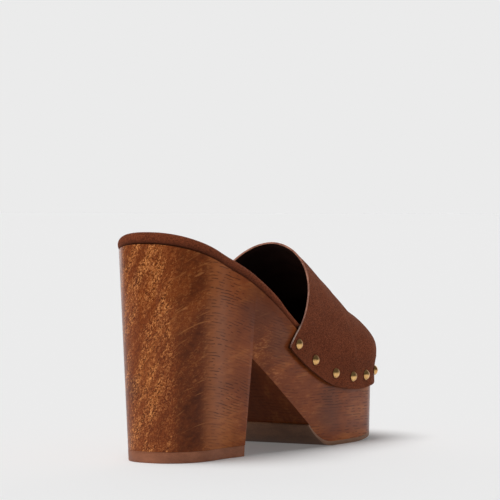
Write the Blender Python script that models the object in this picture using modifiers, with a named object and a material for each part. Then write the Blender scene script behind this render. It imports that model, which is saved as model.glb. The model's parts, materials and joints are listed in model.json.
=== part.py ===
# Platform clog for the right foot: a carved wooden platform with a block heel, a suede covered
# footbed, and a suede upper nailed to the sides of the wood with domed brass studs.
# Metres, +Z up, +X towards the toe, +Y towards the inner side of the foot.
# The origin lies on the floor under the middle of the heel's tread.

import math

import bmesh
import bpy
from mathutils import Vector

# The last, seen from above
LAST_LENGTH = 0.228
SEAT_WIDTH = 0.0592
BALL_WIDTH = 0.0835
SEAT_ROUND = 0.0330
SEAT_SQUARENESS = 2.3
TOE_ROUND = 0.0370

# The block, seen from the side
HEEL_HEIGHT = 0.1196
PLATFORM_HEIGHT = 0.0483
RIM_TOE_RISE = 0.0090
RIM_TOE_CURVE = 1.6
HEEL_LENGTH = 0.0628
HEEL_SIDE_TAPER = 0.0055
HEEL_BACK_TAPER = 0.0034
BREAST_LEAN = 0.0026
ARCH_HEIGHT = 0.0550
ROCKER_LENGTH = 0.0275
ROCKER_HEIGHT = 0.0134
TREAD_LENGTH = 0.0260
TOE_SPRING_LENGTH = 0.0530
TOE_SPRING = 0.0090
PLATFORM_TAPER = 0.0010

# Rubber
TOP_PIECE_THICKNESS = 0.0060
OUTSOLE_THICKNESS = 0.0022
OUTSOLE_FEATHER = 0.0007

# Footbed
FOOTBED_THICKNESS = 0.0062
FOOTBED_OVERHANG = 0.0006
FOOTBED_TUCK = 0.0006
FOOTBED_TUCK_LENGTH = 0.0150
FOOTBED_TUCK_MARGIN = 0.0072
FOOTBED_EDGE_ROUND = 0.0026
SEAT_CUP = 0.0022
CUP_FADE = 0.6

# Upper
LEATHER = 0.0018
UPPER_DROP = 0.0167
SIDE_LENGTH = 0.1208
VAMP_LENGTH = 0.0847
COLLAR_HEIGHT = 0.0676
COLLAR_BOW = 0.0020
WING_REACH = 0.0097
WING_ROUND = 0.0024
INSTEP_FULLNESS = 1.91
TOE_PUFF = 0.0022
TOE_PUFF_HEIGHT = 0.0059
TOE_PUFF_SPREAD = 0.0090
TOE_PUFF_FADE = 4
TOE_BOX_ROUND = 0.0260
TOE_BOX_FRONT = 0.0060
TOE_BOX_SQUARENESS = 2.2

# Studs
STUD_HEAD = 0.0062
STUD_DOME = 0.0020
STUD_DROP = 0.0092
STUD_SPACING = 0.0208
STUD_INSET = 0.0090

# Curved pieces stay this far apart
CLEARANCE = 0.0003

# Stations along the shoe, from the back of the heel. The forepart's are set from the toe, so
# that a longer shoe is longer in the shank.
TREAD_END = LAST_LENGTH - TOE_SPRING_LENGTH
TREAD_START = TREAD_END - TREAD_LENGTH
SHANK_END = TREAD_START - ROCKER_LENGTH
COLLAR_TOP = LAST_LENGTH - VAMP_LENGTH
COLLAR_SIDE = LAST_LENGTH - SIDE_LENGTH
WING_TIP = COLLAR_SIDE - WING_REACH
FIRST_STUD = WING_TIP + STUD_INSET
FOOTBED_TUCK_END = COLLAR_SIDE - FOOTBED_TUCK_MARGIN
FOOTBED_TUCK_START = FOOTBED_TUCK_END - FOOTBED_TUCK_LENGTH

# Outline of the block: share of the length, blend from seat width (0) to ball width (1),
# and how far its middle line lies to the inner side, as a share of the ball width.
OUTLINE = (
    (0.00, 0.00, 0.000),
    (0.16, 0.00, 0.000),
    (0.27, 0.12, -0.012),
    (0.38, 0.20, -0.036),
    (0.52, 0.38, -0.030),
    (0.66, 0.80, 0.002),
    (0.75, 0.97, 0.014),
    (0.83, 1.00, 0.020),
    (0.91, 1.00, 0.055),
    (1.00, 1.00, 0.125),
)

# Rim of the block: share of the length, share of the way from platform height to heel height.
RIM = (
    (0.00, 1.000),
    (0.13, 0.860),
    (0.26, 0.705),
    (0.39, 0.470),
    (0.52, 0.212),
    (0.65, 0.045),
    (0.77, 0.000),
    (1.00, 0.000),
)

# Ridge of the upper: share of the length, height over the rim as a share of the collar's height,
# and share of the toe puff.
RIDGE = (
    (0.40, 1.00, 0.00),
    (0.55, 1.020, 0.15),
    (0.64, 0.970, 0.45),
    (0.70, 0.866, 0.60),
    (0.77, 0.722, 0.80),
    (0.84, 0.512, 1.00),
    (0.90, 0.430, 1.00),
    (1.00, 0.345, 1.00),
)

# Studs that sit off their even spacing, as the hand set them: number along the row from the
# outer side, and how far towards the toe along the row, as a share of the spacing.
STUD_WANDER = (
    (3, 0.14),
    (4, 0.12),
    (5, -0.08),
    (6, -0.33),
    (9, 0.07),
    (12, -0.08),
)

# How finely the curves are stepped
SEAT_STEPS = 9
SIDE_STEPS = 26
TOE_STEPS = 11
VAMP_STEPS = 20
ARCH_STEPS = 12
WALL_STEPS = 3
CROWN_STEPS = 11
STUD_STEPS = 12
DOME_STEPS = 4
EDGE_STEPS = 4
ROUTE_STEPS = 400

# Rows across the footbed, as shares of its half width, and rows round the wing's lower
# corner, as shares of the corner
FOOTBED_ROWS = (0.30, 0.62, 0.88)
WING_ROWS = (0.0, 0.15, 0.5, 1.0)

# The uncut block runs this far below the floor, as a share of its height
BLOCK_BELOW = 0.05

# Points closer than this are one point
WELD = 0.00001

# The outline's direction is measured over this share of the length
SLOPE_STEP = 0.00001

SMOOTH_ANGLE = 35.0

SUEDE = (0.102, 0.028, 0.014)
WOOD = (0.175, 0.050, 0.022)
TOP_PIECE_RUBBER = (0.160, 0.068, 0.042)
OUTSOLE_RUBBER = (0.117, 0.050, 0.034)
BRASS = (0.610, 0.352, 0.102)

OUTER = -1
INNER = 1


def clear_scene():
    for old in list(bpy.data.objects):
        bpy.data.objects.remove(old, do_unlink=True)


def material(name, colour, roughness, metallic=0.0):
    made = bpy.data.materials.new(name)
    made.use_nodes = True
    shader = made.node_tree.nodes["Principled BSDF"]
    shader.inputs["Base Color"].default_value = (*colour, 1.0)
    shader.inputs["Roughness"].default_value = roughness
    shader.inputs["Metallic"].default_value = metallic
    return made


def table_slopes(table, column):
    # slopes of a curve through the rows that never overshoots them
    steps = []
    for low, high in zip(table, table[1:]):
        steps.append((high[column] - low[column]) / (high[0] - low[0]))
    slopes = [steps[0]]
    for before, after in zip(steps, steps[1:]):
        if before * after <= 0:
            slopes.append(0.0)
        else:
            slopes.append(2 * before * after / (before + after))
    slopes.append(steps[-1])
    return slopes


def table_value(table, share, column):
    share = min(max(share, table[0][0]), table[-1][0])
    slopes = table_slopes(table, column)
    row = 0
    while row < len(table) - 2 and share > table[row + 1][0]:
        row += 1
    low, high = table[row], table[row + 1]
    span = high[0] - low[0]
    t = (share - low[0]) / span
    rise = t * t * (3 - 2 * t)
    return (
        low[column] * (1 - rise)
        + high[column] * rise
        + span * slopes[row] * t * (1 - t) ** 2
        - span * slopes[row + 1] * t * t * (1 - t)
    )


def ease(low, high, x):
    t = min(max((x - low) / (high - low), 0.0), 1.0)
    return t * t * (3 - 2 * t)


def rim_height(x):
    share = x / LAST_LENGTH
    height = PLATFORM_HEIGHT + (HEEL_HEIGHT - PLATFORM_HEIGHT) * table_value(RIM, share, 1)
    toe = max(x - TREAD_END, 0.0) / (LAST_LENGTH - TREAD_END)
    return height + RIM_TOE_RISE * toe ** RIM_TOE_CURVE


def end_rounding(x):
    # 1 along the sides, falling to 0 at the back of the seat and at the tip of the toe
    if x < SEAT_ROUND:
        away = (SEAT_ROUND - x) / SEAT_ROUND
        return max(1 - away ** SEAT_SQUARENESS, 0.0) ** (1 / SEAT_SQUARENESS)
    if x > LAST_LENGTH - TOE_ROUND:
        away = (x - LAST_LENGTH + TOE_ROUND) / TOE_ROUND
        return math.sqrt(max(1 - away * away, 0.0))
    return 1.0


def middle_line(x):
    return BALL_WIDTH * table_value(OUTLINE, x / LAST_LENGTH, 2)


def block_side(x, side, drop=0.0):
    # the point of the block's side at station x, this far below the rim, seen from above
    share = x / LAST_LENGTH
    down = drop / rim_height(x)
    heel = 1 - ease(HEEL_LENGTH, SHANK_END, x)
    taper = PLATFORM_TAPER + (HEEL_SIDE_TAPER - PLATFORM_TAPER) * heel
    wide = table_value(OUTLINE, share, 1)
    half = (SEAT_WIDTH + (BALL_WIDTH - SEAT_WIDTH) * wide) / 2 - taper * down
    back = HEEL_BACK_TAPER * max(1 - x / HEEL_LENGTH, 0.0)
    front = PLATFORM_TAPER * max(x - TREAD_END, 0.0) / (LAST_LENGTH - TREAD_END)
    return Vector((x + (back - front) * down, middle_line(x) + side * half * end_rounding(x)))


def side_normal(x, side):
    # outward direction of the rim's outline at station x, seen from above
    if x <= 0.0:
        return Vector((-1.0, 0.0))
    if x >= LAST_LENGTH:
        return Vector((1.0, 0.0))
    step = LAST_LENGTH * SLOPE_STEP
    low = block_side(max(x - step, 0.0), side)
    high = block_side(min(x + step, LAST_LENGTH), side)
    along = high - low
    return Vector((-along.y * side, along.x * side)).normalized()


def round_end_stations(start, length, count, squareness, towards_end):
    # stations spaced evenly round a curved end
    made = []
    for i in range(count + 1):
        angle = math.pi / 2 * i / count
        if towards_end:
            made.append(start + length * math.sin(angle) ** (2 / squareness))
        else:
            made.append(start + length * (1 - max(math.cos(angle), 0.0) ** (2 / squareness)))
    return made


def outline_stations():
    seat = round_end_stations(0.0, SEAT_ROUND, SEAT_STEPS, SEAT_SQUARENESS, False)
    toe_start = LAST_LENGTH - TOE_ROUND
    toe = round_end_stations(toe_start, TOE_ROUND, TOE_STEPS, 2.0, True)
    gap = (toe_start - SEAT_ROUND) / SIDE_STEPS
    sides = [SEAT_ROUND + gap * i for i in range(1, SIDE_STEPS)]
    return seat + sides + toe


def new_object(name, mesh, finish, home, parent):
    made = bpy.data.objects.new(name, mesh)
    if finish is not None:
        mesh.materials.append(finish)
    made.parent = parent
    home.objects.link(made)
    return made


def mesh_from(name, points, faces):
    mesh = bpy.data.meshes.new(name)
    mesh.from_pydata(points, [], faces)
    work = bmesh.new()
    work.from_mesh(mesh)
    bmesh.ops.remove_doubles(work, verts=work.verts, dist=WELD)
    bmesh.ops.recalc_face_normals(work, faces=work.faces)
    work.to_mesh(mesh)
    work.free()
    mesh.shade_smooth()
    mesh.set_sharp_from_angle(angle=math.radians(SMOOTH_ANGLE))
    return mesh


def side_by_side_loft(columns):
    # a closed skin from the seat to the toe: each station gives the outer side's points and the
    # inner side's, bottom to top, and the two sides meet at both ends
    points = []
    faces = []
    index = []
    for outer, inner in columns:
        start = len(points)
        count = len(outer)
        points.extend(outer + inner)
        index.append((range(start, start + count), range(start + count, start + 2 * count)))
    for (outer_a, inner_a), (outer_b, inner_b) in zip(index, index[1:]):
        for row in range(len(outer_a) - 1):
            faces.append((outer_a[row], outer_b[row], outer_b[row + 1], outer_a[row + 1]))
            faces.append((inner_b[row], inner_a[row], inner_a[row + 1], inner_b[row + 1]))
        for end in (0, -1):
            faces.append((outer_a[end], outer_b[end], inner_b[end], inner_a[end]))
    return points, faces


def block_mesh(name):
    # the whole sole as one block with plain sides, from the rim to below the floor
    columns = []
    for x in outline_stations():
        pair = []
        for side in (OUTER, INNER):
            rim = rim_height(x)
            low = block_side(x, side, rim * (1 + BLOCK_BELOW))
            high = block_side(x, side)
            pair.append([Vector((low.x, low.y, -BLOCK_BELOW * rim)), Vector((high.x, high.y, rim))])
        columns.append(pair)
    return mesh_from(name, *side_by_side_loft(columns))


def outsole_profile():
    # the rubber's lower side from the shank's end to beyond the toe
    made = []
    for i in range(ARCH_STEPS + 1):
        t = i / ARCH_STEPS
        x = SHANK_END + (TREAD_START - SHANK_END) * t
        made.append((x, ROCKER_HEIGHT * (1 - t) ** 2))
    beyond = LAST_LENGTH + UPPER_DROP
    toe_steps = ARCH_STEPS // 2
    for i in range(toe_steps + 1):
        x = TREAD_END + (beyond - TREAD_END) * i / toe_steps
        made.append((x, TOE_SPRING * ((x - TREAD_END) / (LAST_LENGTH - TREAD_END)) ** 2))
    return made


def sheet_thickness(x):
    # the rubber is skived thin where it begins, at the top of the rocker
    full = ease(SHANK_END, TREAD_START, x)
    return OUTSOLE_FEATHER + (OUTSOLE_THICKNESS - OUTSOLE_FEATHER) * full


def lifted(profile, gap):
    # the rubber's upper side, or the wood's lower one with a gap added
    made = []
    for i, (x, z) in enumerate(profile):
        before = profile[max(i - 1, 0)]
        after = profile[min(i + 1, len(profile) - 1)]
        along = Vector((after[0] - before[0], after[1] - before[1])).normalized()
        distance = sheet_thickness(x) + gap
        made.append((x - along.y * distance, z + along.x * distance))
    return made


def prism(name, outline, home, parent):
    # a flat outline in X and Z, pushed through the whole width of the block
    reach = BALL_WIDTH
    points = []
    for y in (-reach, reach):
        points.extend(Vector((x, y, z)) for x, z in outline)
    count = len(outline)
    faces = [tuple(range(count)), tuple(range(2 * count - 1, count - 1, -1))]
    for i in range(count):
        after = (i + 1) % count
        faces.append((i, i + count, after + count, after))
    made = new_object(name, mesh_from(name, points, faces), None, home, parent)
    made.hide_render = True
    made.display_type = "WIRE"
    return made


def cut(target, tool, operation):
    step = target.modifiers.new(operation.lower(), "BOOLEAN")
    step.operation = operation
    step.solver = "EXACT"
    step.object = tool


def make_wood(finish, home, cutters, parent):
    below = -HEEL_HEIGHT
    behind = -SEAT_WIDTH
    beyond = LAST_LENGTH + UPPER_DROP
    top = TOP_PIECE_THICKNESS + CLEARANCE
    underside = lifted(outsole_profile(), CLEARANCE)
    outline = [
        (behind, below),
        (behind, top),
        (HEEL_LENGTH, top),
        (HEEL_LENGTH + BREAST_LEAN, ARCH_HEIGHT),
    ]
    outline += underside + [(beyond, below)]
    wood = new_object("wood_base", block_mesh("wood_base"), finish, home, parent)
    cut(wood, prism("under_wood", outline, cutters, parent), "DIFFERENCE")
    return wood


def make_top_piece(finish, home, cutters, parent):
    behind = -SEAT_WIDTH
    outline = [
        (behind, 0.0),
        (HEEL_LENGTH, 0.0),
        (HEEL_LENGTH, TOP_PIECE_THICKNESS),
        (behind, TOP_PIECE_THICKNESS),
    ]
    made = new_object("heel_top_piece", block_mesh("heel_top_piece"), finish, home, parent)
    cut(made, prism("top_piece_slab", outline, cutters, parent), "INTERSECT")
    return made


def make_outsole(finish, home, cutters, parent):
    lower = outsole_profile()
    upper = lifted(lower, 0.0)
    made = new_object("outsole", block_mesh("outsole"), finish, home, parent)
    cut(made, prism("outsole_sheet", lower + upper[::-1], cutters, parent), "INTERSECT")
    return made


def footbed_reach(x):
    tucked = ease(FOOTBED_TUCK_START, FOOTBED_TUCK_END, x)
    return FOOTBED_OVERHANG * (1 - tucked) - FOOTBED_TUCK * tucked


def make_footbed(finish, home, parent):
    # a padded sheet with a rounded edge, cupped a little under the heel
    columns = []
    for x in outline_stations():
        base = rim_height(x) + CLEARANCE
        cup = SEAT_CUP * (1 - CUP_FADE * ease(SEAT_ROUND, SHANK_END, x)) * end_rounding(x)
        pair = []
        for side in (OUTER, INNER):
            normal = side_normal(x, side)
            edge = block_side(x, side) + normal * footbed_reach(x)
            column = []
            for i in range(EDGE_STEPS + 1):
                angle = math.pi * (i / EDGE_STEPS - 0.5)
                out = FOOTBED_EDGE_ROUND * (math.cos(angle) - 1)
                up = FOOTBED_THICKNESS * (0.5 + 0.5 * math.sin(angle))
                spot = edge + normal * out
                column.append(Vector((spot.x, spot.y, base + up)))
            rim = column[-1]
            for share in FOOTBED_ROWS[::-1]:
                y = middle_line(x) + (rim.y - middle_line(x)) * share
                dish = cup * (1 - share * share)
                column.append(Vector((rim.x, y, base + FOOTBED_THICKNESS - dish)))
            pair.append(column)
        columns.append(pair)
    mesh = mesh_from("footbed", *side_by_side_loft(columns))
    return new_object("footbed", mesh, finish, home, parent)


def ridge_height(x):
    share = x / LAST_LENGTH
    height = COLLAR_HEIGHT * table_value(RIDGE, share, 1)
    start = LAST_LENGTH - TOE_BOX_ROUND
    if x > start:
        away = min((x - start) / TOE_BOX_ROUND, 1.0)
        height = TOE_BOX_FRONT + (height - TOE_BOX_FRONT) * math.sqrt(1 - away ** TOE_BOX_SQUARENESS)
    return height


def toe_puff(x, height):
    # how far the leather swells out round the toe, this far above the rim
    away = (height - TOE_PUFF_HEIGHT) / TOE_PUFF_SPREAD
    return TOE_PUFF * table_value(RIDGE, x / LAST_LENGTH, 2) * math.exp(-away * away)


def wall_point(x, side, drop):
    # outer face of the leather on the side of the wood, this far below the rim
    away = CLEARANCE + LEATHER + toe_puff(x, -drop)
    spot = block_side(x, side, drop) + side_normal(x, side) * away
    return Vector((spot.x, spot.y, rim_height(x) - drop))


def crown_point(x, side, turn):
    # outer face of the leather over the foot: turn is 0 at the rim and 1 on the ridge
    angle = turn * math.pi / 2
    power = 2 / INSTEP_FULLNESS
    inward = math.cos(angle) ** power if turn < 1 else 0.0
    height = ridge_height(x) * math.sin(angle) ** power if turn > 0 else 0.0
    normal = side_normal(x, side)
    foot = block_side(x, side) + normal * (CLEARANCE + LEATHER)
    centre = Vector((x + (foot.x - x) * end_fill(x), middle_line(x)))
    puff = toe_puff(x, height)
    flat = centre + (foot - centre) * inward + normal * puff * (1 - turn ** TOE_PUFF_FADE)
    flat.x += puff * turn ** TOE_PUFF_FADE * end_fill(x)
    return Vector((flat.x, flat.y, rim_height(x) + height))


def end_fill(x):
    # the ridge follows the leather round the front of the toe instead of stopping at the wood
    return ease(LAST_LENGTH - TOE_ROUND, LAST_LENGTH, x)


def wing_start(drop):
    # where the leather begins behind, this far below the rim: a pointed wing with a round tip
    share = min(drop / UPPER_DROP, 1.0)
    straight = COLLAR_SIDE + (WING_TIP - COLLAR_SIDE) * share
    corner = max(drop - UPPER_DROP + WING_ROUND, 0.0) / WING_ROUND
    return straight + WING_ROUND * (1 - math.sqrt(max(1 - corner * corner, 0.0)))


def collar_start(turn):
    # where the leather begins above the rim: the collar leans forward to the instep in a bow
    rise = math.sin(turn * math.pi / 2) ** (2 / INSTEP_FULLNESS)
    return COLLAR_SIDE + (COLLAR_TOP - COLLAR_SIDE) * rise + COLLAR_BOW * 4 * rise * (1 - rise)


def upper_rows():
    # each row of the leather: its kind, its place in that kind and its rear end
    corner = WING_ROUND / UPPER_DROP
    drops = [1.0 - corner * share for share in WING_ROWS]
    drops += [(1.0 - corner) * (1 - i / WALL_STEPS) for i in range(1, WALL_STEPS)]
    rows = [("wall", share * UPPER_DROP, wing_start(share * UPPER_DROP)) for share in drops]
    for i in range(CROWN_STEPS + 1):
        turn = i / CROWN_STEPS
        rows.append(("crown", turn, collar_start(turn) if turn > 0 else COLLAR_SIDE))
    return rows


def vamp_stations(start):
    toe_start = LAST_LENGTH - TOE_ROUND
    gap = (toe_start - start) / VAMP_STEPS
    toe = round_end_stations(toe_start, TOE_ROUND, TOE_STEPS, 2.0, True)
    return [start + gap * i for i in range(VAMP_STEPS)] + toe


def make_upper(finish, home, parent):
    # one sheet round the toe, over the instep and down both sides, given its thickness inwards
    rows = upper_rows()
    points = []
    faces = []
    grid = {}
    for r, (kind, place, start) in enumerate(rows):
        stations = vamp_stations(start)
        last = len(stations) - 1
        for s, x in enumerate(stations):
            for side in (OUTER, INNER):
                shared = side == INNER and (s == last or r == len(rows) - 1)
                if shared:
                    grid[r, s, side] = grid[r, s, OUTER]
                    continue
                if kind == "wall":
                    point = wall_point(x, side, place)
                else:
                    point = crown_point(x, side, place)
                grid[r, s, side] = len(points)
                points.append(point)
    for r in range(len(rows) - 1):
        for s in range(last):
            for side in (OUTER, INNER):
                ring = [(r, s), (r, s + 1), (r + 1, s + 1), (r + 1, s)]
                ring = ring[::side]
                faces.append(tuple(dict.fromkeys(grid[a, b, side] for a, b in ring)))
    made = new_object("upper", mesh_from("upper", points, faces), finish, home, parent)
    wall = made.modifiers.new("leather", "SOLIDIFY")
    wall.thickness = LEATHER
    wall.offset = -1.0
    wall.use_even_offset = True
    return made


def stud_mesh():
    # half outline of a domed head with a flat back, turned about its axis
    radius = STUD_HEAD / 2
    ball = (radius * radius + STUD_DOME * STUD_DOME) / (2 * STUD_DOME)
    widest = math.asin(radius / ball)
    points = [Vector((0.0, 0.0, STUD_DOME))]
    for i in range(1, DOME_STEPS + 1):
        angle = widest * i / DOME_STEPS
        points.append(Vector((ball * math.sin(angle), 0.0, ball * math.cos(angle) - ball + STUD_DOME)))
    points[-1].z = 0.0
    points.append(Vector((0.0, 0.0, 0.0)))
    mesh = bpy.data.meshes.new("stud")
    mesh.from_pydata(points, [(i, i + 1) for i in range(len(points) - 1)], [])
    return mesh


def stud_route():
    # the line that the studs follow, round the toe from the outer side to the inner side
    outer = []
    for i in range(ROUTE_STEPS + 1):
        angle = math.pi / 2 * i / ROUTE_STEPS
        outer.append(FIRST_STUD + (LAST_LENGTH - FIRST_STUD) * math.sin(angle))
    route = [(x, OUTER) for x in outer] + [(x, INNER) for x in outer[-2::-1]]
    travelled = [0.0]
    for (xa, side_a), (xb, side_b) in zip(route, route[1:]):
        step = wall_point(xb, side_b, STUD_DROP) - wall_point(xa, side_a, STUD_DROP)
        travelled.append(travelled[-1] + step.length)
    return route, travelled


def make_studs(finish, home, parent):
    route, travelled = stud_route()
    count = max(round(travelled[-1] / STUD_SPACING), 1) + 1
    mesh = stud_mesh()
    mesh.materials.append(finish)
    wander = dict(STUD_WANDER)
    for number in range(count):
        wanted = travelled[-1] * (number + wander.get(number + 1, 0.0)) / (count - 1)
        near = min(range(len(route)), key=lambda i: abs(travelled[i] - wanted))
        x, side = route[near]
        outward = side_normal(x, side)
        outward = Vector((outward.x, outward.y, 0.0))
        stud = bpy.data.objects.new(f"stud_{number + 1:02d}", mesh)
        stud.parent = parent
        stud.location = wall_point(x, side, STUD_DROP) + outward * CLEARANCE
        stud.rotation_mode = "QUATERNION"
        stud.rotation_quaternion = outward.to_track_quat("Z", "Y")
        turn = stud.modifiers.new("turned", "SCREW")
        turn.axis = "Z"
        turn.steps = STUD_STEPS
        turn.render_steps = STUD_STEPS
        turn.use_merge_vertices = True
        turn.merge_threshold = WELD
        turn.use_smooth_shade = True
        home.objects.link(stud)


def main():
    clear_scene()
    home = bpy.data.collections.new("platform_clog")
    cutters = bpy.data.collections.new("cutters")
    bpy.context.scene.collection.children.link(home)
    bpy.context.scene.collection.children.link(cutters)
    last = bpy.data.objects.new("last_back", None)
    last.location.x = -(HEEL_BACK_TAPER + HEEL_LENGTH) / 2
    home.objects.link(last)

    suede = material("suede", SUEDE, 0.9)
    wood = material("wood", WOOD, 0.35)
    top_piece_rubber = material("top_piece_rubber", TOP_PIECE_RUBBER, 0.6)
    outsole_rubber = material("outsole_rubber", OUTSOLE_RUBBER, 0.6)
    brass = material("brass", BRASS, 0.25, 1.0)

    make_wood(wood, home, cutters, last)
    make_top_piece(top_piece_rubber, home, cutters, last)
    make_outsole(outsole_rubber, home, cutters, last)
    make_footbed(suede, home, last)
    make_upper(suede, home, last)
    make_studs(brass, home, last)


main()
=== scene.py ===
import json
import math
from functools import lru_cache

import bmesh
import bpy
from mathutils import Matrix, Vector

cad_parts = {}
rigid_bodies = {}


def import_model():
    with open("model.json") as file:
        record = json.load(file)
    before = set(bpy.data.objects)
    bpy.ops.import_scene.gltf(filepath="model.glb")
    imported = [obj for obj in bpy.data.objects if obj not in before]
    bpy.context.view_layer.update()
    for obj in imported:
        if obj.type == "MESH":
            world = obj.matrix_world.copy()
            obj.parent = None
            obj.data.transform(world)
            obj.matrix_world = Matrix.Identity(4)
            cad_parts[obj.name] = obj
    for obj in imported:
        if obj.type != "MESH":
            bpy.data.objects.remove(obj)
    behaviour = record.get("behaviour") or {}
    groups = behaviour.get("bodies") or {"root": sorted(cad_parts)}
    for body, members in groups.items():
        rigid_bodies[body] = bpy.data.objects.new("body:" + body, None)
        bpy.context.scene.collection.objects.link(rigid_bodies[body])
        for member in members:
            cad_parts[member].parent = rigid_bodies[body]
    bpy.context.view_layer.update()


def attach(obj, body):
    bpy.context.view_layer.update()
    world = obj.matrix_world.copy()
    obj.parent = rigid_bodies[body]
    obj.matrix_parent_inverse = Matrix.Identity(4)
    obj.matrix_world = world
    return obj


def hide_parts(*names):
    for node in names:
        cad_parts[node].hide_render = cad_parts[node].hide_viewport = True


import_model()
outer = -1
inner = 1

# A right clog. Stations run from the back of the heel to the toe; the origin of the row frame
# lies under the middle of the heel's tread.
last = {
    "length": 0.228,
    "seatWidth": 0.0592,
    "ballWidth": 0.0835,
    "seatRound": 0.0330,
    "seatSquareness": 2.3,
    "toeRound": 0.0370,
}

block = {
    "heelHeight": 0.1196,
    "platformHeight": 0.0483,
    "rimToeRise": 0.0090,
    "rimToeCurve": 1.6,
    "heelLength": 0.0628,
    "heelSideTaper": 0.0055,
    "heelBackTaper": 0.0034,
    "breastLean": 0.0026,
    "archHeight": 0.0550,
    "treadEnd": 0.1750,
    "treadStart": 0.1490,
    "shankEnd": 0.1215,
    "rockerHeight": 0.0134,
    "toeSpring": 0.0112,
    "springCurve": 1.75,
    "platformTaper": 0.0010,
    "clearance": 0.0003,
    "spare": 0.05,
    "barPast": 0.0167,
}

smoothAngle = math.radians(50.0)

# share of the length, blend from seat width to ball width, shift to the inner side
outlineRows = (
    (0.00, 0.00, 0.000),
    (0.16, 0.00, 0.000),
    (0.27, 0.12, -0.012),
    (0.38, 0.20, -0.036),
    (0.52, 0.38, -0.030),
    (0.66, 0.80, 0.002),
    (0.75, 0.97, 0.014),
    (0.83, 1.00, 0.020),
    (0.91, 1.00, 0.055),
    (1.00, 1.00, 0.125),
)

# share of the length, share of the way from platform height to heel height
rimRows = (
    (0.00, 1.000),
    (0.13, 0.860),
    (0.26, 0.705),
    (0.39, 0.470),
    (0.52, 0.212),
    (0.65, 0.045),
    (0.77, 0.000),
    (1.00, 0.000),
)

heelMiddle = (block["heelBackTaper"] + block["heelLength"]) / 2


@lru_cache(maxsize=None)
def rowSlopes(table, column):
    steps = [(b[column] - a[column]) / (b[0] - a[0]) for a, b in zip(table, table[1:])]
    slopes = [steps[0]]
    for before, after in zip(steps, steps[1:]):
        same = before * after > 0
        slopes.append(2 * before * after / (before + after) if same else 0.0)
    return slopes + [steps[-1]]


@lru_cache(maxsize=None)
def along(table, share, column):
    share = min(max(share, table[0][0]), table[-1][0])
    slopes = rowSlopes(table, column)
    row = 0
    while row < len(table) - 2 and share > table[row + 1][0]:
        row += 1
    low, high = table[row], table[row + 1]
    span = high[0] - low[0]
    t = (share - low[0]) / span
    rise = t * t * (3 - 2 * t)
    bend = span * (slopes[row] * t * (1 - t) ** 2 - slopes[row + 1] * t * t * (1 - t))
    return low[column] * (1 - rise) + high[column] * rise + bend


def ease(low, high, x):
    t = min(max((x - low) / (high - low), 0.0), 1.0)
    return t * t * (3 - 2 * t)


def hump(x, middle, width):
    return math.exp(-((x - middle) / width) ** 2)


@lru_cache(maxsize=None)
def rimHeight(x):
    low = block["platformHeight"]
    height = low + (block["heelHeight"] - low) * along(rimRows, x / last["length"], 1)
    toe = max(x - block["treadEnd"], 0.0) / (last["length"] - block["treadEnd"])
    return height + block["rimToeRise"] * toe ** block["rimToeCurve"]


def endRounding(x):
    if x < last["seatRound"]:
        away = (last["seatRound"] - x) / last["seatRound"]
        power = last["seatSquareness"]
        return max(1 - away ** power, 0.0) ** (1 / power)
    away = max(x - last["length"] + last["toeRound"], 0.0) / last["toeRound"]
    return math.sqrt(max(1 - away * away, 0.0))


def middleLine(x):
    return last["ballWidth"] * along(outlineRows, x / last["length"], 2)


@lru_cache(maxsize=None)
def blockSide(x, side, drop=0.0):
    down = drop / rimHeight(x)
    heel = 1 - ease(block["heelLength"], block["shankEnd"], x)
    taper = block["platformTaper"] + (block["heelSideTaper"] - block["platformTaper"]) * heel
    wide = along(outlineRows, x / last["length"], 1)
    full = last["seatWidth"] + (last["ballWidth"] - last["seatWidth"]) * wide
    half = full / 2 - taper * down
    back = block["heelBackTaper"] * max(1 - x / block["heelLength"], 0.0)
    toe = max(x - block["treadEnd"], 0.0) / (last["length"] - block["treadEnd"])
    move = (back - block["platformTaper"] * toe) * down
    return Vector((x + move, middleLine(x) + side * half * endRounding(x)))


@lru_cache(maxsize=None)
def sideNormal(x, side):
    if x <= 0.0:
        return Vector((-1.0, 0.0))
    if x >= last["length"]:
        return Vector((1.0, 0.0))
    step = last["length"] * 0.00001
    ahead = blockSide(min(x + step, last["length"]), side) - blockSide(max(x - step, 0.0), side)
    return Vector((-ahead.y * side, ahead.x * side)).normalized()


def roundEnd(start, length, count, squareness, towardsToe):
    made = []
    for i in range(count + 1):
        angle = math.pi / 2 * i / count
        if towardsToe:
            made.append(start + length * math.sin(angle) ** (2 / squareness))
        else:
            made.append(start + length * (1 - max(math.cos(angle), 0.0) ** (2 / squareness)))
    return made


def outlineStations(seatSteps, sideSteps, toeSteps):
    seat = roundEnd(0.0, last["seatRound"], seatSteps, last["seatSquareness"], False)
    toeStart = last["length"] - last["toeRound"]
    toe = roundEnd(toeStart, last["toeRound"], toeSteps, 2.0, True)
    gap = (toeStart - last["seatRound"]) / sideSteps
    return seat + [last["seatRound"] + gap * i for i in range(1, sideSteps)] + toe


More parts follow.
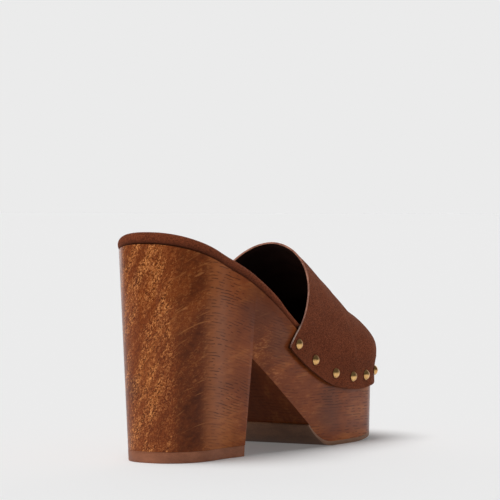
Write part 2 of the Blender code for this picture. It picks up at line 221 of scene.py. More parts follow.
class shade:
    # one output of a material's node; sums on it add Math nodes
    def __init__(self, tree, socket=None):
        self.tree = tree
        self.socket = socket

    def node(self, kind, settings=None, sockets=None, out=0):
        made = self.tree.nodes.new("ShaderNode" + kind)
        for name, value in (settings or {}).items():
            if name == "stops":
                setStops(made.color_ramp, value)
            else:
                setattr(made, name, value)
        for name, value in (sockets or {}).items():
            if isinstance(value, shade):
                self.tree.links.new(value.socket, made.inputs[name])
            else:
                made.inputs[name].default_value = value
        return shade(self.tree, made.outputs[out])

    def sums(self, operation, *parts):
        return self.node("Math", {"operation": operation}, dict(enumerate(parts)))

    def __add__(self, other):
        return self.sums("ADD", self, other)

    __radd__ = __add__

    def __sub__(self, other):
        return self.sums("SUBTRACT", self, other)

    def __rsub__(self, other):
        return self.sums("SUBTRACT", other, self)

    def __mul__(self, other):
        return self.sums("MULTIPLY", self, other)

    __rmul__ = __mul__

    def __truediv__(self, other):
        return self.sums("DIVIDE", self, other)

    def between(self, low, high):
        # 0 at low, 1 at high, smooth in between
        sockets = {0: self, 1: low, 2: high}
        return self.node("MapRange", {"interpolation_type": "SMOOTHSTEP"}, sockets)

    def tint(self, dark, light):
        sockets = {0: self, 6: (*dark, 1.0), 7: (*light, 1.0)}
        return self.node("Mix", {"data_type": "RGBA"}, sockets, 2)

    def mixed(self, under, over):
        sockets = {0: self, 6: under, 7: over}
        return self.node("Mix", {"data_type": "RGBA"}, sockets, 2)


def setStops(ramp, stops):
    while len(ramp.elements) < len(stops):
        ramp.elements.new(1.0)
    for element, (place, colour) in zip(ramp.elements, stops):
        element.position = place
        element.color = (*colour, 1.0)


def newFinish(name, fixed):
    made = bpy.data.materials.new(name)
    made.use_nodes = True
    shader = made.node_tree.nodes["Principled BSDF"]
    for socket, value in fixed.items():
        shader.inputs[socket].default_value = value
    return made, shade(made.node_tree), shader


def wire(nodes, shader, **links):
    names = {
        "colour": "Base Color", "rough": "Roughness", "normal": "Normal", "coat": "Coat Weight",
    }
    for name, value in links.items():
        nodes.tree.links.new(value.socket, shader.inputs[names[name]])


def stretched(nodes, scale, offset=(0.0, 0.0, 0.0)):
    place = nodes.node("TexCoord", out="Object")
    return nodes.node("Mapping", None, {"Vector": place, "Location": offset, "Scale": scale})


def noise(nodes, place, detail=2.0, rough=0.5, warp=0.0):
    sockets = {
        "Vector": place, "Scale": 1.0, "Detail": detail, "Roughness": rough, "Distortion": warp,
    }
    return nodes.node("TexNoise", None, sockets, "Fac")


woodLook = {
    "dark": (0.052, 0.0115, 0.0036),
    "mid": (0.178, 0.0410, 0.0100),
    "light": (0.520, 0.2050, 0.0640),
    "amber": (0.300, 0.0820, 0.0130),
    "tan": (0.290, 0.1000, 0.0330),
    "pore": (0.034, 0.0100, 0.0050),
    "patchDark": (0.090, 0.0235, 0.0090),
    "steepLean": -27.0,
    "lowLean": -54.0,
    "poreLean": 1.5,
    "poreGap": 0.0017,
    "ringDrop": 0.016,
    # place of each darker patch in the row frame, and how far it reaches
    "darkSpots": (
        ((0.040, -0.030, 0.086), 0.026),
        ((0.058, -0.032, 0.066), 0.020),
        ((-0.026, 0.012, 0.108), 0.007),
        ((-0.027, 0.004, 0.101), 0.008),
        ((-0.030, 0.012, 0.040), 0.009),
        ((0.110, -0.041, 0.020), 0.016),
        ((0.060, 0.028, 0.078), 0.024),
        ((0.190, 0.010, 0.028), 0.018),
    ),
}


def leaning(nodes, degrees, scale):
    # coordinates turned about the shoe's length, so that one axis runs up the heel's streaks
    place = nodes.node("TexCoord", out="Object")
    turned = nodes.node("Mapping", None, {
        "Vector": place, "Rotation": (math.radians(degrees), 0.0, 0.0),
    })
    return nodes.node("Mapping", None, {"Vector": turned, "Scale": scale})


def darkPatches(nodes):
    place = nodes.node("TexCoord", out="Object")
    ragged = noise(nodes, stretched(nodes, (40.0, 90.0, 90.0)), 3.0, 0.6)
    total = None
    for spot, reach in woodLook["darkSpots"]:
        away = nodes.node("VectorMath", {"operation": "DISTANCE"}, {0: place, 1: spot}, "Value")
        patch = 1.0 - (away / reach + ragged - 0.5).between(0.25, 1.15)
        total = patch if total is None else nodes.sums("MAXIMUM", total, patch)
    return total


def poreDashes(nodes):
    # rows of short thin pores along the wood's length, in loose clusters; the rows sink along
    # the shank, as the growth rings do
    place = nodes.node("TexCoord", out="Object")
    length = nodes.node("SeparateXYZ", None, {0: place}, "X")
    height = nodes.node("SeparateXYZ", None, {0: place}, "Z")
    level = height + length * math.tan(math.radians(woodLook["poreLean"]))
    level = level + length.between(-0.012, 0.075) * woodLook["ringDrop"]
    sway = noise(nodes, stretched(nodes, (60.0, 130.0, 170.0), (0.7, 2.9, 1.3)), 2.0, 0.5)
    turns = level * (2 * math.pi / woodLook["poreGap"]) + (sway - 0.5) * 8.0
    row = nodes.sums("SINE", turns).between(0.22, 0.80)
    broken = noise(nodes, stretched(nodes, (170.0, 420.0, 420.0), (3.1, 1.7, 0.4)), 1.0, 0.5)
    where = noise(nodes, stretched(nodes, (34.0, 60.0, 75.0), (0.3, 5.1, 2.2)), 1.0)
    close = length.between(0.050, 0.005) * 0.3 + length.between(0.065, 0.105) * 0.2 + 0.5
    cluster = 0.45 + where.between(0.38, 0.58) * 0.55
    return row * broken.between(0.45, 0.53) * cluster * close


def woodFinish():
    # pores and figure lie with the shoe's length, so its sides show dashes and its round ends
    # show bright curly flecks in leaning bands
    made, nodes, shader = newFinish("lacqueredWood", {
        "Specular IOR Level": 0.05, "Coat Roughness": 0.13, "Coat IOR": 1.22,
    })
    steep, low = woodLook["steepLean"], woodLook["lowLean"]
    broad = noise(nodes, leaning(nodes, steep, (9.0, 70.0, 18.0)), 2.0, 0.5, 0.6)
    streak = noise(nodes, leaning(nodes, steep, (30.0, 185.0, 34.0)), 3.0, 0.6, 0.5)
    line = noise(nodes, leaning(nodes, low, (40.0, 520.0, 40.0)), 2.0, 0.55, 0.5)
    grain = noise(nodes, stretched(nodes, (60.0, 500.0, 500.0), (0.2, 0.9, 4.0)), 3.0, 0.6)
    curl = noise(nodes, leaning(nodes, steep, (180.0, 1150.0, 640.0)), 1.5, 0.6, 1.2)
    fleck = noise(nodes, leaning(nodes, low, (200.0, 1300.0, 900.0)), 1.0, 0.6, 0.9)
    normal = nodes.node("TexCoord", out="Normal")
    facing = nodes.node("SeparateXYZ", None, {0: normal}, "X")
    sideways = nodes.node("SeparateXYZ", None, {0: normal}, "Y")
    upward = nodes.node("SeparateXYZ", None, {0: normal}, "Z")
    under = upward.between(-0.25, -0.70)
    endGrain = (nodes.sums("ABSOLUTE", facing) + (grain - 0.5) * 0.16).between(0.08, 0.36)
    endGrain = endGrain * (1.0 - under)
    # round the outer corner the end grain is painted darker and loses its flecks: painted shade
    # where it turns away from the light from the left
    corner = (0.0 - sideways + (streak - 0.5) * 0.7 + (broad - 0.5) * 0.5).between(0.46, 0.66)
    corner = corner * endGrain
    band = (streak * 0.75 + broad * 0.45 - 0.10).between(0.40, 0.62)
    lively = endGrain * (1.0 - corner * 0.80)
    tone = 0.47 + (broad - 0.5) * 0.40 + (streak - 0.5) * 0.34 + (grain - 0.5) * 0.34
    tone = tone - corner * 0.17 + 0.01
    colour = nodes.node("ValToRGB", {"stops": (
        (0.16, woodLook["dark"]), (0.50, woodLook["mid"]), (0.92, woodLook["light"]),
    )}, {"Fac": tone}, "Color")
    amber = (broad + (streak - 0.5) * 0.6).between(0.52, 0.72) * (0.34 - corner * 0.24)
    colour = amber.mixed(colour, (*woodLook["amber"], 1.0))
    length = nodes.node("SeparateXYZ", None, {0: nodes.node("TexCoord", out="Object")}, "X")
    besideCorner = length.between(0.026, -0.008) * (1.0 - endGrain)
    colour = (besideCorner * 0.42).mixed(colour, (*woodLook["tan"], 1.0))
    # the wood is darker in patches round the listed spots
    colour = (darkPatches(nodes) * 0.72).mixed(colour, (*woodLook["patchDark"], 1.0))
    pits = curl.between(0.52, 0.38) * lively * (0.42 + band * 0.52)
    colour = pits.mixed(colour, (*woodLook["dark"], 1.0))
    glint = curl.between(0.54, 0.66) * lively * (0.16 + band * 0.84)
    glint = nodes.sums("MAXIMUM", glint, fleck.between(0.56, 0.68) * lively * band * 0.60)
    colour = glint.mixed(colour, (*woodLook["light"], 1.0))
    threads = line.between(0.60, 0.72) * corner * 0.30
    colour = threads.mixed(colour, (*woodLook["light"], 1.0))
    pores = poreDashes(nodes) * (1.0 - endGrain)
    colour = (pores * 0.85).mixed(colour, (*woodLook["pore"], 1.0))
    # the shank's underside is painted darker as painted shade, and has less lacquer than the sides
    colour = (under * 0.50).mixed(colour, (*woodLook["dark"], 1.0))
    rough = 0.32 + curl * 0.12 + pores * 0.14
    bump = nodes.node("Bump", None, {
        "Height": curl * 0.3 - pores, "Strength": 0.20, "Distance": 0.00012,
    })
    wire(nodes, shader, colour=colour, rough=rough, normal=bump, coat=0.48 - under * 0.45)
    return made


suedeLook = {
    "dark": (0.046, 0.0105, 0.0045),
    "light": (0.170, 0.0430, 0.0180),
    "edgeDark": (0.130, 0.0420, 0.0240),
    "edgeLight": (0.330, 0.1500, 0.0980),
    "lining": (0.018, 0.007, 0.005),
    "fibre": (0.620, 0.470, 0.380),
    "frayed": (0.0685, -0.0375, 0.0690),
}


def suedeFinish(name, lift=1.0):
    made, nodes, shader = newFinish(name, {
        "Sheen Weight": 0.14, "Sheen Roughness": 0.45, "Sheen Tint": (0.85, 0.38, 0.22, 1.0),
        "Specular IOR Level": 0.08,
    })
    cloud = noise(nodes, stretched(nodes, (55.0, 70.0, 80.0)), 3.0, 0.55, 0.5)
    brushed = noise(nodes, stretched(nodes, (260.0, 420.0, 700.0)), 2.0, 0.6, 0.3)
    nap = noise(nodes, stretched(nodes, (1150.0, 1650.0, 1450.0)), 3.0, 0.8)
    tone = cloud * 0.26 + brushed * 0.20 + nap * 2.15 - 0.805
    dark = tuple(v * lift for v in suedeLook["dark"])
    light = tuple(v * lift for v in suedeLook["light"])
    colour = tone.between(0.12, 0.88).tint(dark, light)
    # what faces the ground is painted darker: painted shade
    upward = nodes.node("SeparateXYZ", None, {0: nodes.node("TexCoord", out="Normal")}, "Z")
    colour = (upward.between(0.15, -0.75) * 0.6).mixed(colour, (*dark, 1.0))
    rough = 0.84 + nap * 0.14
    bump = nodes.node("Bump", None, {
        "Height": nap + brushed * 0.6, "Strength": 0.60, "Distance": 0.00035,
    })
    wire(nodes, shader, colour=colour, rough=rough, normal=bump)
    return made


def cutEdgeFinish():
    # the raw edge of the suede: pale loose fibres over the brown
    made, nodes, shader = newFinish("cutEdge", {"Specular IOR Level": 0.15, "Sheen Weight": 0.4})
    fibres = noise(nodes, stretched(nodes, (900.0, 900.0, 900.0)), 3.0, 0.7)
    patch = noise(nodes, stretched(nodes, (110.0, 110.0, 110.0)), 1.0)
    place = nodes.node("TexCoord", out="Object")
    away = nodes.node("VectorMath", {"operation": "DISTANCE"},
                      {0: place, 1: suedeLook["frayed"]}, "Value")
    frayed = (away + (fibres - 0.5) * 0.024).between(0.0085, 0.0035)
    tone = (fibres * 0.8 + patch * 0.5 - 0.15).between(0.32, 0.66)
    bump = nodes.node("Bump", None, {"Height": fibres, "Strength": 0.6, "Distance": 0.0003})
    colour = tone.tint(suedeLook["edgeDark"], suedeLook["edgeLight"])
    colour = (frayed * 0.9).mixed(colour, (*suedeLook["fibre"], 1.0))
    wire(nodes, shader, colour=colour, rough=0.85 + fibres * 0.1, normal=bump)
    return made


def liningFinish():
    made, nodes, shader = newFinish("darkLining", {"Specular IOR Level": 0.15})
    grain = noise(nodes, stretched(nodes, (1100.0, 1100.0, 1100.0)), 2.0, 0.6)
    dark = tuple(v * 0.6 for v in suedeLook["lining"])
    bump = nodes.node("Bump", None, {"Height": grain, "Strength": 0.3, "Distance": 0.00015})
    wire(nodes, shader, colour=grain.between(0.3, 0.7).tint(dark, suedeLook["lining"]),
         rough=0.80 + grain * 0.15, normal=bump)
    return made


def rubberFinish(name, dark, light):
    made, nodes, shader = newFinish(name, {"Specular IOR Level": 0.35})
    cloud = noise(nodes, stretched(nodes, (90.0, 90.0, 260.0)), 3.0, 0.6)
    grit = noise(nodes, stretched(nodes, (1600.0, 1600.0, 1600.0)), 2.0, 0.6)
    tone = (cloud * 0.7 + grit * 0.4 - 0.05).between(0.25, 0.80)
    bump = nodes.node("Bump", None, {"Height": grit, "Strength": 0.25, "Distance": 0.0001})
    wire(nodes, shader, colour=tone.tint(dark, light), rough=0.46 + cloud * 0.16, normal=bump)
    return made


def brassFinish():
    made, nodes, shader = newFinish("polishedBrass", {"Metallic": 1.0})
    wear = noise(nodes, stretched(nodes, (420.0, 420.0, 420.0)), 3.0, 0.6)
    scuff = noise(nodes, stretched(nodes, (2600.0, 2600.0, 700.0)), 2.0, 0.6)
    bump = nodes.node("Bump", None, {"Height": scuff, "Strength": 0.08, "Distance": 0.00004})
    wire(nodes, shader, colour=wear.between(0.2, 0.8).tint((0.66, 0.37, 0.13), (0.90, 0.57, 0.24)),
         rough=0.27 + wear * 0.10, normal=bump)
    return made


def newPiece(name, points, faces, finishes, weld=0.00001):
    # points come by station, and go into the row frame here
    mesh = bpy.data.meshes.new(name)
    mesh.from_pydata([(p.x - heelMiddle, p.y, p.z) for p in points], [], faces)
    work = bmesh.new()
    work.from_mesh(mesh)
    bmesh.ops.remove_doubles(work, verts=work.verts, dist=weld)
    bmesh.ops.recalc_face_normals(work, faces=work.faces)
    work.to_mesh(mesh)
    work.free()
    for finish in finishes:
        mesh.materials.append(finish)
    made = bpy.data.objects.new(name, mesh)
    bpy.context.scene.collection.objects.link(made)
    return made


def settle(piece):
    # the modifiers' result becomes the mesh
    graph = bpy.context.evaluated_depsgraph_get()
    mesh = bpy.data.meshes.new_from_object(piece.evaluated_get(graph))
    piece.modifiers.clear()
    piece.data = mesh


def softenEdges(piece, width, segments, degrees=35.0):
    step = piece.modifiers.new("softened", "BEVEL")
    step.width = width
    step.segments = segments
    step.limit_method = "ANGLE"
    step.angle_limit = math.radians(degrees)
    settle(piece)
    piece.data.shade_smooth()
    piece.data.set_sharp_from_angle(angle=smoothAngle)


def skin(columns):
    # each station gives the outer side's points and the inner side's, bottom to top
    points = []
    faces = []
    index = []
    for near, far in columns:
        start, count = len(points), len(near)
        points.extend(near + far)
        index.append((range(start, start + count), range(start + count, start + 2 * count)))
    for (nearA, farA), (nearB, farB) in zip(index, index[1:]):
        for row in range(len(nearA) - 1):
            faces.append((nearA[row], nearB[row], nearB[row + 1], nearA[row + 1]))
            faces.append((farB[row], farA[row], farA[row + 1], farB[row + 1]))
        for end in (0, -1):
            faces.append((nearA[end], nearB[end], farB[end], farA[end]))
    return points, faces


def plainBlock(name, finish, steps=(26, 110, 34)):
    columns = []
    for x in outlineStations(*steps):
        pair = []
        rim = rimHeight(x)
        for side in (outer, inner):
            low = blockSide(x, side, rim * (1 + block["spare"]))
            high = blockSide(x, side)
            bottom = -block["spare"] * rim
            pair.append([Vector((low.x, low.y, bottom)), Vector((high.x, high.y, rim))])
        columns.append(pair)
    return newPiece(name, *skin(columns), [finish])


def profileBar(outline):
    reach = last["ballWidth"]
    points = [Vector((x, y, z)) for y in (-reach, reach) for x, z in outline]
    count = len(outline)
    faces = [tuple(range(count)), tuple(range(2 * count - 1, count - 1, -1))]
    for i in range(count):
        after = (i + 1) % count
        faces.append((i, i + count, after + count, after))
    return newPiece("profileBar", points, faces, [])


def carve(piece, bar, operation):
    step = piece.modifiers.new("carve", "BOOLEAN")
    step.operation = operation
    step.solver = "EXACT"
    step.object = bar
    settle(piece)
    bpy.data.objects.remove(bar, do_unlink=True)


rubber = {
    "topPiece": 0.0060,
    "sheet": 0.0022,
    "feather": 0.0007,
    "profileSteps": 34,
    "liftEdge": 0.0004,
    "soleEdge": 0.0002,
    "edgeSteps": 2,
}


def outsoleLine():
    made = []
    steps = rubber["profileSteps"]
    for i in range(steps + 1):
        t = i / steps
        x = block["shankEnd"] + (block["treadStart"] - block["shankEnd"]) * t
        made.append((x, block["rockerHeight"] * (1 - t) ** 2))
    beyond = last["length"] + block["barPast"]
    for i in range(steps + 1):
        x = block["treadEnd"] + (beyond - block["treadEnd"]) * i / steps
        rise = (x - block["treadEnd"]) / (last["length"] - block["treadEnd"])
        made.append((x, block["toeSpring"] * rise ** block["springCurve"]))
    return made


def raised(line, gap):
    made = []
    for i, (x, z) in enumerate(line):
        before, after = line[max(i - 1, 0)], line[min(i + 1, len(line) - 1)]
        way = Vector((after[0] - before[0], after[1] - before[1])).normalized()
        full = ease(block["shankEnd"], block["treadStart"], x)
        far = rubber["feather"] + (rubber["sheet"] - rubber["feather"]) * full + gap
        made.append((x - way.y * far, z + way.x * far))
    return made


wood = {"arris": 0.0007, "arrisSteps": 3}


def makeWood(finish):
    piece = plainBlock("woodPlatform", finish)
    low, behind = -block["heelHeight"], -last["seatWidth"]
    top = rubber["topPiece"] + block["clearance"]
    outline = [
        (behind, low),
        (behind, top),
        (block["heelLength"], top),
        (block["heelLength"] + block["breastLean"], block["archHeight"]),
    ]
    outline += raised(outsoleLine(), block["clearance"])
    outline.append((last["length"] + block["barPast"], low))
    carve(piece, profileBar(outline), "DIFFERENCE")
    softenEdges(piece, wood["arris"], wood["arrisSteps"])
    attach(piece, "root")
    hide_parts("wood_base")
    print("wood platform made")


def makeHeelLift(finish):
    piece = plainBlock("heelLift", finish)
    behind = -last["seatWidth"]
    outline = [
        (behind, 0.0),
        (block["heelLength"], 0.0),
        (block["heelLength"], rubber["topPiece"] + block["clearance"]),
        (behind, rubber["topPiece"] + block["clearance"]),
    ]
    carve(piece, profileBar(outline), "INTERSECT")
    softenEdges(piece, rubber["liftEdge"], rubber["edgeSteps"])
    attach(piece, "root")
    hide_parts("heel_top_piece")
    print("heel lift made")


def makeOutsole(finish):
    piece = plainBlock("rubberSole", finish)
    line = outsoleLine()
    carve(piece, profileBar(line + raised(line, block["clearance"])[::-1]), "INTERSECT")
    softenEdges(piece, rubber["soleEdge"], rubber["edgeSteps"])
    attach(piece, "root")
    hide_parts("outsole")
    print("rubber sole made")


footbed = {
    "thickness": 0.0062,
    "overhang": 0.0006,
    "tuck": 0.0006,
    "tuckStart": 0.0850,
    "tuckEnd": 0.1000,
    "edgeRound": 0.0026,
    "seatCup": 0.0022,
    "cupFade": 0.6,
    "edgeSteps": 12,
    "acrossSteps": 16,
    "puff": 0.0005,
    # where across the sheet it is fullest, and how wide that is
    "puffPlace": 0.86,
    "puffWidth": 0.10,
    "fill": 0.8,
    "steps": (24, 100, 30),
}


def makeFootbed(finish):
    # a padded sheet whose suede is drawn round the edge, with a cup for the heel
    columns = []
    for x in outlineStations(*footbed["steps"]):
        base = rimHeight(x) + block["clearance"]
        fade = 1 - footbed["cupFade"] * ease(last["seatRound"], block["shankEnd"], x)
        cup = footbed["seatCup"] * fade * endRounding(x)
        tucked = ease(footbed["tuckStart"], footbed["tuckEnd"], x)
        reach = footbed["overhang"] * (1 - tucked) - footbed["tuck"] * tucked
        pair = []
        for side in (outer, inner):
            normal = sideNormal(x, side)
            edge = blockSide(x, side) + normal * reach
            column = []
            for i in range(footbed["edgeSteps"] + 1):
                angle = math.pi * (i / footbed["edgeSteps"] - 0.5)
                spot = edge + normal * footbed["edgeRound"] * (math.cos(angle) - 1)
                up = footbed["thickness"] * (0.5 + 0.5 * math.sin(angle))
                column.append(Vector((spot.x, spot.y, base + up)))
            rim = column[-1]
            for i in range(1, footbed["acrossSteps"]):
                share = 1 - i / footbed["acrossSteps"]
                y = middleLine(x) + (rim.y - middleLine(x)) * share
                swell = hump(share, footbed["puffPlace"], footbed["puffWidth"])
                puff = footbed["puff"] * swell * endRounding(x)
                dish = cup * (1 - share * share) - puff
                column.append(Vector((rim.x, y, base + footbed["thickness"] - dish)))
            pair.append(column)
        columns.append(pair)
    piece = newPiece("paddedFootbed", *skin(columns), [finish])
    piece.data.shade_smooth()
    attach(piece, "root")
    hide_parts("footbed")
    print("footbed made")


upper = {
    "leather": 0.0018,
    "skive": 0.0040,
    "edgeShare": 0.60,
    "drop": 0.0167,
    "collarSide": 0.1072,
    "collarTop": 0.1433,
    "collarHeight": 0.0676,
    "collarBow": 0.0020,
    "wingTip": 0.0975,
    "wingRound": 0.0024,
    "fullness": 1.91,
    "toePuff": 0.0022,
    "toePuffHeight": 0.0059,
    "toePuffSpread": 0.0090,
    "toePuffFade": 4,
    "toeBoxRound": 0.0260,
    "toeBoxFront": 0.0060,
    "toeBoxSquareness": 2.45,
    "smoothFrom": 0.168,
    "smoothRounds": 28,
    "vampSteps": 96,
    "toeSteps": 40,
    "wallSteps": 12,
    "crownSteps": 44,
    "nailLift": 0.00045,
    # how far from a nail the bulge starts and is full
    "nailReach": (0.0028, 0.0095),
    # station, width and depth of each crease; they swing forward down the sides and end there
    "creases": ((0.158, 0.0040, 0.00035), (0.167, 0.0035, 0.00028)),
    "creaseSwing": 0.010,
    "creaseEnd": (0.45, 0.95),
    "ridgeAfter": 0.0055,
    "rimDown": -0.35,
}

# share of the length, height over the rim, share of the toe puff
ridgeRows = (
    (0.40, 1.00, 0.00),
    (0.55, 1.020, 0.15),
    (0.64, 0.970, 0.45),
    (0.70, 0.880, 0.60),
    (0.77, 0.742, 0.80),
    (0.84, 0.536, 1.00),
    (0.90, 0.446, 1.00),
    (1.00, 0.360, 1.00),
)


@lru_cache(maxsize=None)
def ridgeHeight(x):
    height = upper["collarHeight"] * along(ridgeRows, x / last["length"], 1)
    start = last["length"] - upper["toeBoxRound"]
    if x > start:
        away = min((x - start) / upper["toeBoxRound"], 1.0)
        front = upper["toeBoxFront"]
        height = front + (height - front) * math.sqrt(1 - away ** upper["toeBoxSquareness"])
    return height


def toePuff(x, height):
    # how far the leather swells out round the toe, this far above the rim
    away = (height - upper["toePuffHeight"]) / upper["toePuffSpread"]
    return upper["toePuff"] * along(ridgeRows, x / last["length"], 2) * math.exp(-away * away)


def wallPoint(x, side, drop):
    away = block["clearance"] + upper["leather"] + toePuff(x, -drop)
    spot = blockSide(x, side, drop) + sideNormal(x, side) * away
    return Vector((spot.x, spot.y, rimHeight(x) - drop))


def endFill(x):
    return ease(last["length"] - last["toeRound"], last["length"], x)


def crownPoint(x, side, turn):
    angle = turn * math.pi / 2
    power = 2 / upper["fullness"]
    inward = math.cos(angle) ** power if turn < 1 else 0.0
    height = ridgeHeight(x) * math.sin(angle) ** power if turn > 0 else 0.0
    normal = sideNormal(x, side)
    foot = blockSide(x, side) + normal * (block["clearance"] + upper["leather"])
    centre = Vector((x + (foot.x - x) * endFill(x), middleLine(x)))
    puff = toePuff(x, height)
    fade = turn ** upper["toePuffFade"]
    flat = centre + (foot - centre) * inward + normal * puff * (1 - fade)
    flat.x += puff * fade * endFill(x)
    return Vector((flat.x, flat.y, rimHeight(x) + height))


def wingStart(drop):
    share = min(drop / upper["drop"], 1.0)
    straight = upper["collarSide"] + (upper["wingTip"] - upper["collarSide"]) * share
    corner = max(drop - upper["drop"] + upper["wingRound"], 0.0) / upper["wingRound"]
    return straight + upper["wingRound"] * (1 - math.sqrt(max(1 - corner * corner, 0.0)))


def collarStart(turn):
    rise = math.sin(turn * math.pi / 2) ** (2 / upper["fullness"]) if turn > 0 else 0.0
    lean = (upper["collarTop"] - upper["collarSide"]) * rise
    return upper["collarSide"] + lean + upper["collarBow"] * 4 * rise * (1 - rise)


studs = {
    "head": 0.0062,
    "dome": 0.0020,
    "drop": 0.0092,
    "spacing": 0.0208,
    "first": 0.1065,
    # studs off their even spacing: number, share of the spacing
    "wander": {3: 0.14, 4: 0.12, 5: -0.08, 6: -0.33, 9: 0.07, 12: -0.08},
    "routeSteps": 400,
    "domeSteps": 14,
    "turns": 40,
    "rim": 0.00014,
    # the turned-in rim: how far in from the head's radius, and height
    "turnIn": ((0.00004, 0.00004), (0.00015, 0.0)),
}


def studPlaces():
    # station, side and centre of each stud, round the toe from the outer side
    steps = studs["routeSteps"]
    reach = last["length"] - studs["first"]
    turns = [math.pi / 2 * i / steps for i in range(steps + 1)]
    stations = [studs["first"] + reach * math.sin(turn) for turn in turns]
    route = [(x, outer) for x in stations] + [(x, inner) for x in stations[-2::-1]]
    walked = [0.0]
    for a, b in zip(route, route[1:]):
        step = wallPoint(*b, studs["drop"]) - wallPoint(*a, studs["drop"])
        walked.append(walked[-1] + step.length)
    count = round(walked[-1] / studs["spacing"]) + 1
    made = []
    for number in range(count):
        wanted = walked[-1] * (number + studs["wander"].get(number + 1, 0.0)) / (count - 1)
        near = min(range(len(route)), key=lambda i: abs(walked[i] - wanted))
        x, side = route[near]
        made.append((x, side, wallPoint(x, side, studs["drop"])))
    return made


def leatherLift(spot, kind, place, x, nails):
    # how far the leather stands off its plain form: it bulges between the nails along its lower
    # edge, and has two soft creases where the foot will bend
    lift = 0.0
    if kind == "wall":
        nearest = min((spot - nail).length for nail in nails)
        depth = ease(0.0, upper["drop"], place)
        lift += upper["nailLift"] * ease(*upper["nailReach"], nearest) * depth
    else:
        over = ease(*upper["creaseEnd"], place)
        for where, width, depth in upper["creases"]:
            middle = where + upper["creaseSwing"] * (1 - place)
            lift -= depth * over * hump(x, middle, width)
            lift += 0.5 * depth * over * hump(x, middle + upper["ridgeAfter"], width)
    return lift


def makeUpper(finishes, nails):
    corner = upper["wingRound"] / upper["drop"]
    drops = [1.0 - corner * share for share in (0.0, 0.06, 0.15, 0.3, 0.5, 0.75, 1.0)]
    walls = upper["wallSteps"]
    drops += [(1.0 - corner) * (1 - i / walls) for i in range(1, walls)]
    rows = [("wall", share * upper["drop"], wingStart(share * upper["drop"])) for share in drops]
    for i in range(upper["crownSteps"] + 1):
        turn = i / upper["crownSteps"]
        rows.append(("crown", turn, collarStart(turn)))
    toeStart = last["length"] - last["toeRound"]
    toe = roundEnd(toeStart, last["toeRound"], upper["toeSteps"], 2.0, True)
    points, faces, grid, facts = [], [], {}, []
    for r, (kind, place, start) in enumerate(rows):
        gap = (toeStart - start) / upper["vampSteps"]
        stations = [start + gap * i for i in range(upper["vampSteps"])] + toe
        tip = len(stations) - 1
        for s, x in enumerate(stations):
            for side in (outer, inner):
                if side == inner and (s == tip or r == len(rows) - 1):
                    grid[r, s, side] = grid[r, s, outer]
                    continue
                at = wallPoint if kind == "wall" else crownPoint
                grid[r, s, side] = len(points)
                points.append(at(x, side, place))
                facts.append((kind, place, x))
    for r in range(len(rows) - 1):
        for s in range(tip):
            for side in (outer, inner):
                ring = [(r, s), (r, s + 1), (r + 1, s + 1), (r + 1, s)][::side]
                faces.append(tuple(dict.fromkeys(grid[a, b, side] for a, b in ring)))
    piece = newPiece("suedeUpper", points, faces, finishes, weld=0.0000001)
    work = bmesh.new()
    work.from_mesh(piece.data)
    front = [v for v, fact in zip(work.verts, facts)
             if fact[0] == "crown" and fact[2] > upper["smoothFrom"]]
    for _ in range(upper["smoothRounds"]):
        bmesh.ops.smooth_vert(work, verts=front, factor=0.5,
                              use_axis_x=True, use_axis_y=True, use_axis_z=True)
    work.to_mesh(piece.data)
    work.free()
    vertices = piece.data.vertices
    if len(vertices) != len(facts):
        raise ValueError("the upper lost points, so its creases can't be placed")
    normals = [v.normal.copy() for v in vertices]
    for vertex, normal, fact, spot in zip(vertices, normals, facts, points):
        vertex.co += normal * leatherLift(spot, *fact, nails)
    full = piece.vertex_groups.new(name="fullThickness")
    for vertex, (kind, place, x) in zip(vertices, facts):
        start = wingStart(place * upper["drop"]) if kind == "wall" else collarStart(place)
        inside = ease(0.0, upper["skive"], x - start)
        if kind == "wall":
            inside = min(inside, ease(0.0, upper["skive"], upper["drop"] - place))
        full.add([vertex.index], inside, "REPLACE")
    wall = piece.modifiers.new("thickness", "SOLIDIFY")
    wall.thickness = upper["leather"]
    wall.vertex_group = "fullThickness"
    wall.thickness_vertex_group = upper["edgeShare"]
    wall.offset = -1.0
    wall.use_even_offset = True
    wall.material_offset = 2
    wall.material_offset_rim = 1
    settle(piece)
    # the rim's faces that point down take the darker suede finish in place of the pale cut edge:
    # painted shade
    for face in piece.data.polygons:
        if face.material_index == 1 and face.normal.z < upper["rimDown"]:
            face.material_index = 0
    piece.data.shade_smooth()
    piece.data.set_sharp_from_angle(angle=smoothAngle)
    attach(piece, "root")
    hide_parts("upper")
    print("upper made, faces", len(piece.data.polygons))


def makeStuds(finish, places):
    # a domed head whose rim turns in to the leather
    radius, dome = studs["head"] / 2, studs["dome"]
    ball = (radius * radius + dome * dome) / (2 * dome)
    widest = math.asin(radius / ball)
    profile = []
    for i in range(studs["domeSteps"] + 1):
        angle = widest * i / studs["domeSteps"]
        profile.append((ball * math.sin(angle), ball * math.cos(angle) - ball + dome))
    profile[-1] = (radius, studs["rim"])
    profile += [(radius - inward, up) for inward, up in studs["turnIn"]] + [(0.0, 0.0)]
    turns = studs["turns"]
    for number, (x, side, spot) in enumerate(places, start=1):
        normal = sideNormal(x, side)
        out = Vector((normal.x, normal.y, 0.0))
        spin = out.to_track_quat("Z", "Y").to_matrix()
        foot = spot + out * block["clearance"]
        points, faces = [], []
        for far, up in profile:
            for k in range(turns):
                angle = 2 * math.pi * k / turns
                away = Vector((far * math.cos(angle), far * math.sin(angle), up))
                points.append(foot + spin @ away)
        for row in range(len(profile) - 1):
            for k in range(turns):
                a, b = row * turns + k, row * turns + (k + 1) % turns
                faces.append((a, b, b + turns, a + turns))
        piece = newPiece(f"stud{number:02d}", points, faces, [finish])
        piece.data.shade_smooth()
        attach(piece, "root")
        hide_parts(f"stud_{number:02d}")
    print("studs made", len(places))


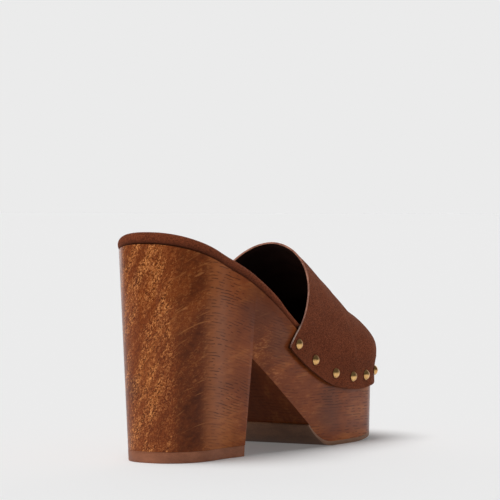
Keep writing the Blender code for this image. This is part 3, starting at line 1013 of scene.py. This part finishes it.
studio = {
    "lens": 193.3,
    "sensor": 36.0,
    "place": (-1.2819, -0.7566, 0.1421),
    "azimuth": 28.98,
    "pitch": -1.01,
    "paper": 0.831,
    "behind": 1.60,
    "cameraSide": 0.07,
    "overhead": 0.12,
    "floorAlbedo": 0.80,
    "floorGlow": 0.12,
    "floorReach": 30.0,
    # how near to straight ahead the backdrop starts and is full, and the same for the ceiling
    "backdrop": (0.55, 0.97),
    "ceiling": (0.35, 0.85),
    # name: strength, spread in degrees, direction towards the light, what it lights
    "lights": {
        "leftSky": (2.72, 40.0, (-0.80, 0.42, 0.45), "shoeLit"),
        "rightSky": (1.30, 45.0, (0.25, -0.90, 0.45), "shoeLit"),
        "frontFill": (0.22, 90.0, (-0.85, -0.48, 0.35), "shoeLit"),
        "topSky": (1.10, 60.0, (0.35, 0.0, 1.0), "shoeLit"),
        "floorSky": (2.30, 38.0, (-0.22, 0.20, 1.0), "floorLit"),
    },
}


def makeStudio():
    scene = bpy.context.scene
    azimuth, pitch = math.radians(studio["azimuth"]), math.radians(studio["pitch"])
    level = Vector((math.cos(azimuth), math.sin(azimuth), 0.0))
    right = Vector((math.sin(azimuth), -math.cos(azimuth), 0.0))
    up = Vector((0.0, 0.0, 1.0))
    ahead = level * math.cos(pitch) + up * math.sin(pitch)
    above = up * math.cos(pitch) - level * math.sin(pitch)
    seat = Matrix((right, above, -ahead)).transposed().to_4x4()
    seat.translation = Vector(studio["place"])
    lens = bpy.data.cameras.new("camera")
    lens.sensor_width = studio["sensor"]
    lens.lens = studio["lens"]
    camera = bpy.data.objects.new("camera", lens)
    camera.matrix_world = seat
    scene.collection.objects.link(camera)
    scene.camera = camera
    scene.view_settings.view_transform = "Standard"

    world = bpy.data.worlds.new("paperSweep")
    scene.world = world
    world.use_nodes = True
    nodes = shade(world.node_tree)
    # the camera sees plain paper; the light round the shoe is bright behind it and dark in
    # front, where the photographer stands
    way = nodes.node("TexCoord", out="Generated")
    deep = nodes.node("VectorMath", {"operation": "DOT_PRODUCT"}, {0: way, 1: level}, "Value")
    height = nodes.node("SeparateXYZ", None, {0: way}, "Z")
    front, back = (studio["cameraSide"],) * 3, (studio["behind"],) * 3
    around = deep.between(*studio["backdrop"]).tint(front, back)
    light = height.between(*studio["ceiling"]).mixed(around, (*(studio["overhead"],) * 3, 1.0))
    seen = nodes.node("LightPath", out="Is Camera Ray")
    sky = seen.mixed(light, (*(studio["paper"],) * 3, 1.0))
    world.node_tree.links.new(sky.socket, world.node_tree.nodes["Background"].inputs["Color"])

    # four lamps light only the shoe and cast no shade on the floor; one lights only the floor,
    # which so has just the soft shade under the shoe
    groups = {name: bpy.data.collections.new(name) for name in ("shoeLit", "floorLit")}
    for name, (strength, spread, way, group) in studio["lights"].items():
        lamp = bpy.data.lights.new(name, "SUN")
        lamp.energy = strength
        lamp.angle = math.radians(spread)
        light = bpy.data.objects.new(name, lamp)
        light.rotation_mode = "QUATERNION"
        light.rotation_quaternion = Vector(way).to_track_quat("Z", "Y")
        light.visible_glossy = False
        light.light_linking.receiver_collection = groups[group]
        scene.collection.objects.link(light)

    finish = newFinish("paleFloor", {
        "Base Color": (studio["floorAlbedo"],) * 3 + (1.0,),
        "Roughness": 1.0,
        "Specular IOR Level": 0.0,
        "Emission Color": (1.0, 1.0, 1.0, 1.0),
        "Emission Strength": studio["floorGlow"],
    })[0]
    reach = studio["floorReach"]
    mesh = bpy.data.meshes.new("floor")
    corners = [(x * reach, y * reach, 0.0) for x, y in ((-1, -1), (1, -1), (1, 1), (-1, 1))]
    mesh.from_pydata(corners, [], [(0, 1, 2, 3)])
    mesh.materials.append(finish)
    floor = bpy.data.objects.new("floor", mesh)
    scene.collection.objects.link(floor)
    groups["floorLit"].objects.link(floor)
    print("studio made")
    return groups["shoeLit"], floor


def main():
    shoeLit, floor = makeStudio()
    makeWood(woodFinish())
    makeHeelLift(rubberFinish("topPieceRubber", (0.150, 0.050, 0.024), (0.260, 0.098, 0.050)))
    makeOutsole(rubberFinish("soleRubber", (0.110, 0.052, 0.028), (0.215, 0.108, 0.060)))
    makeFootbed(suedeFinish("footbedSuede", 1.1))
    places = studPlaces()
    nails = [spot for _, _, spot in places]
    makeUpper([suedeFinish("upperSuede"), cutEdgeFinish(), liningFinish()], nails)
    makeStuds(brassFinish(), places)
    for piece in bpy.context.scene.objects:
        if piece.type == "MESH" and piece is not floor:
            shoeLit.objects.link(piece)


main()
